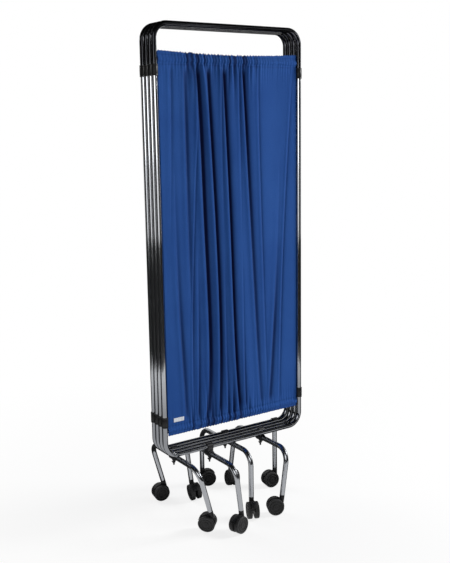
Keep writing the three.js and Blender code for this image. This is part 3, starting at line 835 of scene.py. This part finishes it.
# curtains
curtain = {
    # the mesh has fine rows near both ends and longer ones between
    "columns": 330, "fineRows": 34, "longRows": 56, "fineRise": 0.11, "backRows": 10,
    "thickness": 0.0011,
    # how far the cloth may come forward and stand back between its neighbours
    "mostFront": 0.0088, "mostBack": 0.0098,
    # the sleeves round the rods, and the row of stitches that closes each, with its painted shade
    "sleeveHalf": 0.008, "sleeveBulge": 0.0041, "backShare": 0.6,
    "seam": 0.016, "seamWidth": 0.0022, "seamShade": 0.2,
    # the frills beyond the rods, and how much the heading droops in the middle
    "scallop": 0.0022, "lowScallop": 0.7, "edgeScallop": 0.3, "sag": 0.0085,
    # little puckers along the rods, and where the folds have come to their full depth
    "pucker": 0.0012, "puckerPitch": 0.0125, "puckerUneven": 3.2, "edgePucker": 0.25,
    "puckerFade": 0.03, "gather": 0.045,
    # the gathers come in and thin out over these shares of the width
    "gatherIn": (0.08, 0.2), "gatherOut": (0.6, 0.8), "gatherKept": 0.2,
    # longer gathers of uneven size, stronger at the lower rod, with painted shade where they are
    # pinched
    "gathers": 110, "gatherDeep": 0.0034, "gatherWidth": 0.0052, "gatherLong": 0.055,
    "gatherSpot": (0.42, 0.2), "gatherLean": 0.35, "gatherMean": 0.45, "gatherStart": 0.006,
    "gatherShort": 0.3, "gatherSeed": 40, "upperStrength": 2, "lowerStrength": 2.6,
    "pinchShade": 0.75, "pinchFull": 0.0048,
    # slow waves of the whole cloth
    "sway": 0.0022, "swayLines": 5, "swayPitch": 5.1, "swayLean": 1.3, "swayStep": 1.7,
    "swayPanel": 2.4,
    # each fold: where its dark line runs as shares of the width, and its depths, at
    # five heights from the top to the foot, and its width
    "levels": (0, 0.25, 0.5, 0.75, 1),
    "folds": [
        ((0.183, 0.187, 0.190, 0.195, 0.200), (0.0060, 0.0060, 0.0040, 0.0, 0.0), 0.016),
        ((0.260, 0.293, 0.310, 0.326, 0.288), (0.0095, 0.0105, 0.0105, 0.0105, 0.0070), 0.019),
        ((0.340, 0.369, 0.394, 0.406, 0.383), (0.0090, 0.0105, 0.0105, 0.0105, 0.0070), 0.0165),
        ((0.457, 0.479, 0.499, 0.515, 0.553), (0.0115, 0.0115, 0.0115, 0.0115, 0.0090), 0.0165),
        ((0.597, 0.627, 0.657, 0.687, 0.720), (0.0115, 0.0095, 0.0070, 0.0060, 0.0040), 0.016),
        ((0.715, 0.722, 0.738, 0.755, 0.770), (0.0015, 0.0030, 0.0030, 0.0020, 0.0), 0.010),
        ((0.985, 0.945, 0.910, 0.885, 0.865), (0.0, 0.0025, 0.0030, 0.0030, 0.0020), 0.009),
        ((0.900, 0.880, 0.860, 0.827, 0.778), (0.0, 0.0, 0.0015, 0.0065, 0.0060), 0.017),
        ((0.285, 0.258, 0.226, 0.203, 0.195), (0.0, 0.0020, 0.0030, 0.0035, 0.0010), 0.008),
        ((0.095, 0.098, 0.101, 0.122, 0.145), (0.0, 0.0, 0.0025, 0.0060, 0.0045), 0.016),
        ((0.240, 0.245, 0.248, 0.246, 0.230), (0.0, 0.0, 0.0, 0.0040, 0.0060), 0.011),
        ((0.440, 0.440, 0.445, 0.450, 0.465), (0.0045, 0.0015, 0.0, 0.0020, 0.0060), 0.010),
        ((0.570, 0.575, 0.580, 0.585, 0.600), (0.0050, 0.0020, 0.0, 0.0020, 0.0060), 0.009),
        ((0.090, 0.080, 0.060, 0.050, 0.050), (0.0040, 0.0020, 0.0, 0.0, 0.0), 0.014),
    ],
    # a fold's edge lies this share left of the dark line that the photograph shows
    "edgeShift": 0.011,
    # the folds of the hidden curtains are moved by up to this share
    "foldStray": 0.012, "strayPanel": 3.1, "strayFold": 40,
    # the most that painted shade darkens a fold, from which depth, and how much of it is left beside a
    # rod
    "shadeMost": 0.98, "shadeDeep": 0.0100, "shadeAtRod": 0.15, "shadeClear": 0.05,
}
# the section across a fold, in fold widths from its edge: a soft ridge, a sharp drop and a slow return
foldForm = {"drop": 3, "bottom": 0.4, "return": 1.25, "gain": 1.1, "ridge": -1.1, "ridgeWidth": 1.1,
            "ridgeGain": 0.4, "darkDrop": 4, "darkFrom": -0.55, "darkTo": 1.2, "darkReach": 0.5}


def ramp(value, start, end):
    share = np.clip((value - start) / (end - start), 0, 1)
    return share * share * (3 - 2 * share)


# slow uneven waves, other ones for each panel
def waves(share, height, seed):
    total = np.zeros_like(share)
    for order in range(1, curtain["swayLines"] + 1):
        phase = seed * curtain["swayPanel"] + order * curtain["swayStep"]
        lean = height * curtain["swayLean"] * math.sin(phase)
        total += np.sin(share * order * curtain["swayPitch"] + phase + lean) / (order + 1)
    return total


# how deep the folds are, and how much painted shade darkens their bottoms
def deepFolds(along, fall, panel):
    depth = np.zeros_like(along)
    lit = np.ones_like(along)
    levels = curtain["levels"]
    for shares, depths, width in curtain["folds"]:
        centre = np.polyval(np.polyfit(levels, shares, len(levels) - 1), fall)
        if panel > 1:
            turn = panel * curtain["strayPanel"] + shares[0] * curtain["strayFold"]
            centre = centre + curtain["foldStray"] * math.sin(turn)
        away = (along - centre + curtain["edgeShift"]) / width
        deep = np.interp(fall, levels, depths)
        fold = (1 + np.tanh(foldForm["drop"] * away)) / 2
        fold = fold * np.exp(-np.maximum(away - foldForm["bottom"], 0) / foldForm["return"])
        ridge = np.exp(-(((away - foldForm["ridge"]) / foldForm["ridgeWidth"]) ** 2))
        depth += deep * (foldForm["gain"] * fold - foldForm["ridgeGain"] * ridge)
        dark = (1 + np.tanh(foldForm["darkDrop"] * (away - foldForm["darkFrom"]))) / 2
        dark = dark * np.exp(-np.maximum(away - foldForm["darkTo"], 0) / foldForm["darkReach"])
        lit *= 1 - curtain["shadeMost"] * dark * np.minimum(deep / curtain["shadeDeep"], 1)
    return depth, lit


# gathers that run out of the sleeves and lean as they fade, and how tightly they are pinched
def longGathers(along, height, rods, middle, panel):
    width = stileRight - stileLeft
    rise = np.zeros_like(along)
    pinched = np.zeros_like(along)
    dice = np.random.default_rng(curtain["gatherSeed"] + panel)
    ends = ((rods[1], -1, curtain["upperStrength"]), (rods[0], 1, curtain["lowerStrength"]))
    for level, side, strength in ends:
        away = np.maximum(side * (height - level) - curtain["sleeveHalf"], 0)
        start = 1 - np.exp(-away / curtain["gatherStart"])
        for _ in range(curtain["gathers"]):
            spot, lean, size, reach = dice.normal(*curtain["gatherSpot"]), *dice.uniform(0, 1, 3)
            centre = spot + (lean - 0.5) * curtain["gatherLean"] * away
            bump = np.exp(-(((along - centre) * width / curtain["gatherWidth"]) ** 2))
            fade = np.exp(-away / (curtain["gatherLong"] * (curtain["gatherShort"] + reach)))
            deep = (size - curtain["gatherMean"]) * curtain["gatherDeep"] * strength
            lift = deep * bump * fade * middle
            rise += lift * start
            pinched += lift
    return rise, pinched


# how far the cloth stands back from its panel's plane, by the share of its width and its height,
# with the beat of its puckers and its painted shade
def clothDepth(share, height, span, rods, panel):
    fall = (span[1] - height) / (span[1] - span[0])
    # every second curtain is turned round
    along = 1 - share if panel % 2 == 0 else share
    depth, lit = deepFolds(along, fall, panel)
    depth += curtain["sway"] * waves(along, fall, panel)
    near = np.minimum(abs(height - rods[0]), abs(height - rods[1]))
    loose = ramp(near, curtain["sleeveHalf"], curtain["gather"])
    spent = (1 - curtain["gatherKept"]) * ramp(along, *curtain["gatherOut"])
    middle = ramp(along, *curtain["gatherIn"]) * (1 - spent)
    beat = 2 * math.pi * along * (stileRight - stileLeft) / curtain["puckerPitch"]
    beat = np.sin(beat + curtain["puckerUneven"] * waves(along * 4, fall * 0, panel + 3))
    fade = np.exp(-np.maximum(near - curtain["sleeveHalf"], 0) / curtain["puckerFade"])
    least = curtain["edgePucker"]
    pucker = curtain["pucker"] * (least + (1 - least) * middle) * fade * beat
    rise, pinched = longGathers(along, height, rods, middle, panel)
    pucker += rise
    # painted shade: kept small beside the rods, and added in the pinched gathers and along the seams
    least = curtain["shadeAtRod"]
    clear = ramp(near, curtain["sleeveHalf"], curtain["shadeClear"])
    lit = 1 - (1 - lit) * (least + (1 - least) * clear)
    lit *= 1 - curtain["pinchShade"] * np.clip(pinched / curtain["pinchFull"], 0, 1)
    lit *= 1 - curtain["seamShade"] * np.exp(-(((near - curtain["seam"]) / curtain["seamWidth"]) ** 2))
    least = curtain["edgeScallop"]
    beat = beat * (least + (1 - least) * middle)
    depth = np.clip(depth * loose + pucker, -curtain["mostFront"], curtain["mostBack"])
    return depth, beat, 1 - lit


def rowHeights(span):
    rise = curtain["fineRise"]
    fine = np.linspace(0, rise, curtain["fineRows"], endpoint=False)
    long = np.linspace(span[0] + rise, span[1] - rise, curtain["longRows"])
    return np.concatenate([span[0] + fine, long, (span[1] - fine)[::-1]])


def gridPiece(name, columns, rows):
    bpy.ops.object.select_all(action="DESELECT")
    bpy.ops.mesh.primitive_grid_add(x_subdivisions=columns, y_subdivisions=rows, size=1)
    piece = named(name)
    spots = np.empty(len(piece.data.vertices) * 3)
    piece.data.vertices.foreach_get("co", spots)
    return piece, spots.reshape(-1, 3)


def placeSpots(piece, along, depth, height, shade):
    spots = np.stack([along, depth, height], axis=1)
    piece.data.vertices.foreach_set("co", spots.ravel())
    piece.data.attributes.new("foldShade", "FLOAT", "POINT").data.foreach_set("value", shade)
    piece.data.update()


# the cloth's width when pulled flat, measured along its rows
def arcWidth(piece, rows):
    columns = curtain["columns"] + 1
    spots = np.empty(len(piece.data.vertices) * 3)
    piece.data.vertices.foreach_get("co", spots)
    sheet = spots.reshape(-1, 3)[: columns * rows].reshape(rows, columns, 3)
    return float(np.linalg.norm(np.diff(sheet, axis=1), axis=2).sum(axis=1).mean())


def rodHeights(panel):
    return [midHeight(f"{level}_rod_{panel}") for level in ("bottom", "top")]


# the front of a curtain, with its frills
def curtainFront(panel, low, high, heights):
    span = (low[2], high[2])
    rods = rodHeights(panel)
    half = curtain["sleeveHalf"]
    piece, spots = gridPiece(f"curtain_cloth_{panel}", curtain["columns"], len(heights) - 1)
    share = spots[:, 0] + 0.5
    row = np.rint((spots[:, 1] + 0.5) * (len(heights) - 1)).astype(int)
    height = heights[row]
    depth, beat, shade = clothDepth(share, height, span, rods, panel)
    # the cloth passes in front of both rods
    for level in rods:
        out = np.clip(1 - ((height - level) / half) ** 2, 0, 1)
        depth = depth - curtain["sleeveBulge"] * np.sqrt(out)
    # frills beyond the rods: scalloped edges, and a heading that droops in the middle
    above = ramp(height, rods[1] + half, span[1])
    below = ramp(-height, -rods[0] + half, -span[0]) * curtain["lowScallop"]
    lift = curtain["scallop"] * (beat * (above - below) - above + below)
    lift = lift - curtain["sag"] * above * np.sin(math.pi * share)
    along = low[0] + share * (high[0] - low[0])
    placeSpots(piece, along, panelDepths[panel - 1] + depth, height + lift, shade)
    return piece


# the turned part of a sleeve, behind its rod
def sleeveBack(panel, low, high, level):
    back, spots = gridPiece("sleeve_back", curtain["columns"], curtain["backRows"])
    share = spots[:, 0] + 0.5
    offset = spots[:, 1] * 2
    height = level + offset * curtain["sleeveHalf"]
    depth, _, shade = clothDepth(share, height, (low[2], high[2]), rodHeights(panel), panel)
    bulge = curtain["sleeveBulge"] * np.sqrt(np.clip(1 - offset**2, 0, 1))
    depth = panelDepths[panel - 1] + depth * curtain["backShare"] + bulge
    placeSpots(back, low[0] + share * (high[0] - low[0]), depth, height, shade)
    return back


def makeCurtain(panel):
    low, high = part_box(f"curtain_{panel}")
    heights = rowHeights((low[2], high[2]))
    piece = curtainFront(panel, low, high, heights)
    backs = [sleeveBack(panel, low, high, level) for level in rodHeights(panel)]
    makeActive(piece)
    for back in backs:
        back.select_set(True)
    bpy.ops.object.join()
    print("curtain", panel, "width along its rows", round(arcWidth(piece, len(heights)), 4))
    applyModifier(piece, "SOLIDIFY", thickness=curtain["thickness"], offset=0, use_even_offset=False)
    bpy.ops.object.shade_smooth()
    hand(piece, curtainCloth, f"panel_{panel}", [f"curtain_{panel}"])
    return piece


# a blank sewn tag near the foot of the front curtain
tag = {"left": 0.022, "width": 0.040, "rise": 0.047, "height": 0.0145, "lift": 0.0011,
       "thickness": 0.0005, "columns": 30, "rows": 14}


def makeTag():
    low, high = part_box("curtain_1")
    piece, spots = gridPiece("blank_tag", tag["columns"], tag["rows"])
    along = tag["left"] + (spots[:, 0] + 0.5) * tag["width"]
    height = low[2] + tag["rise"] + (spots[:, 1] + 0.5) * tag["height"]
    share = along / (high[0] - low[0])
    depth, _, shade = clothDepth(share, height, (low[2], high[2]), rodHeights(1), 1)
    placeSpots(piece, low[0] + along, panelDepths[0] + depth - tag["lift"], height, shade)
    applyModifier(piece, "SOLIDIFY", thickness=tag["thickness"], offset=0)
    bpy.ops.object.shade_smooth()
    piece.data.materials.append(tagCloth)
    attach(piece, "panel_1")
    return piece


blankTag = makeTag()
for panel in range(1, 5):
    piece = makeCurtain(panel)
print("curtains made")


# studio
studio = {
    "floorRadius": 14, "floorDrop": 0.0002, "nearShare": 0.80, "farRadius": 1.8, "ambient": 0.22,
    # name, place, width and watts of each lamp, and where they all aim
    "lamps": [
        ("key_lamp", (3.7, -1.7, 2.5), 1.2, 202),
        ("fill_lamp", (-2.4, -3.2, 2.2), 2.4, 29),
        ("back_lamp", (-1.2, 3.2, 2.6), 2.0, 70),
    ],
    "aim": (0, 0, 0.8),
    # what the chrome sees: a dark tent with windows to the white room, each
    # between two turns in degrees from the camera's side and two heights
    "tentRadius": 2.0, "tentHeight": 2.7, "gloom": 0.012,
    "windows": [
        (-34, 16, 0.74, 1.70), (-16, -8, 1.70, 2.50), (56, 76, 1.90, 2.10), (62, 67, 0.74, 1.40),
        (115, 135, 0.74, 1.70), (160, 215, 0.74, 1.70), (180, 188, 1.70, 2.50),
        (236, 256, 1.90, 2.10), (258, 266, 0.74, 1.70),
    ],
    # the tent has no ground up to this turn on both sides of the camera, so the pale
    # floor shows there, and what lies beside and behind stays dark
    "lightFloor": 84,
}
white = linear("#ffffff")


# rays that see the white background: the camera's, and those off metal or through glass
def backgroundRays(tree):
    straight = addNode(tree, "LightPath", "Is Camera Ray")
    rays = straight.node
    for kind in ("Is Glossy Ray", "Is Transmission Ray"):
        straight = addNode(
            tree, "Math", 0, {0: straight, 1: rays.outputs[kind]}, operation="MAXIMUM"
        )
    return straight


# near the feet the floor takes some shadow, and further off it is plain white
def floorMaterial():
    material, tree, shader, place = startMaterial("pale_floor")
    setInputs(tree, shader, {"Base Color": linear("#f4f4f4"), "Roughness": 0.9})
    reach = addNode(tree, "VectorMath", "Value", {"Vector": place}, operation="LENGTH")
    fading = {
        "Value": reach, "From Min": 0.3, "From Max": studio["farRadius"],
        "To Min": studio["nearShare"],
    }
    share = addNode(tree, "MapRange", "Result", fading)
    seen = addNode(tree, "Math", 0, {0: share, 1: backgroundRays(tree)}, operation="MULTIPLY")
    glow = addNode(tree, "Emission", 0, {"Color": white, "Strength": 1})
    mix = addNode(tree, "MixShader", 0, {0: seen, 1: shader.outputs[0], 2: glow})
    tree.links.new(mix, tree.nodes["Material Output"].inputs["Surface"])
    return material


def isOpen(face):
    front = math.atan2(camera["place"][1], camera["place"][0])
    turn = math.degrees(math.atan2(face.center.y, face.center.x) - front) % 360
    if abs(face.normal.z) > 0.9:
        return face.normal.z < 0 and min(turn, 360 - turn) < studio["lightFloor"]
    return any(
        (turn - start) % 360 < end - start and foot < face.center.z < head
        for start, end, foot, head in studio["windows"]
    )


# the tent is seen by reflections only
def addTent():
    height = studio["tentHeight"]
    bpy.ops.object.select_all(action="DESELECT")
    bpy.ops.mesh.primitive_cylinder_add(
        vertices=90,
        radius=studio["tentRadius"],
        depth=height,
        end_fill_type="TRIFAN",
        location=(0, 0, height / 2),
    )
    tent = named("dark_tent")
    settle(tent)
    for level in sorted({level for window in studio["windows"] for level in window[2:]}):
        pickAll(tent)
        bpy.ops.mesh.bisect(plane_co=(0, 0, level), plane_no=zWay)
        bpy.ops.object.mode_set(mode="OBJECT")
    pickFaces(tent, isOpen)
    bpy.ops.mesh.delete(type="FACE")
    bpy.ops.object.mode_set(mode="OBJECT")
    material, tree, shader, _ = startMaterial("dark_tent_cloth")
    black = {"Base Color": linear("#000000"), "Roughness": 1}
    setInputs(tree, shader, {**black, "Emission Color": white, "Emission Strength": studio["gloom"]})
    tent.data.materials.append(material)
    tent.visible_camera = False
    tent.visible_diffuse = False
    tent.visible_shadow = False
    tent.visible_transmission = False


def addFloor():
    bpy.ops.mesh.primitive_circle_add(
        vertices=96,
        radius=studio["floorRadius"],
        fill_type="NGON",
        location=(0, 0, -studio["floorDrop"]),
    )
    floor = named("pale_floor")
    floor.data.materials.append(floorMaterial())


def addLamps():
    for name, place, size, power in studio["lamps"]:
        way = Vector(place) - Vector(studio["aim"])
        bpy.ops.object.light_add(
            type="AREA", location=place, rotation=way.to_track_quat("Z", "Y").to_euler()
        )
        lamp = bpy.context.object
        lamp.name = name
        lamp.data.size = size
        lamp.data.energy = power


def addWorld():
    world = bpy.data.worlds.new("white_room")
    world.use_nodes = True
    tree = world.node_tree
    bpy.context.scene.world = world
    soft = tree.nodes["Background"]
    setInputs(tree, soft, {"Color": white, "Strength": studio["ambient"]})
    plain = addNode(tree, "Background", 0, {"Color": white, "Strength": 1})
    mix = addNode(tree, "MixShader", 0, {0: backgroundRays(tree), 1: soft.outputs[0], 2: plain})
    tree.links.new(mix, tree.nodes["World Output"].inputs["Surface"])


addFloor()
addTent()
addLamps()
addWorld()
bpy.context.scene.view_settings.view_transform = "Standard"
print("studio made")
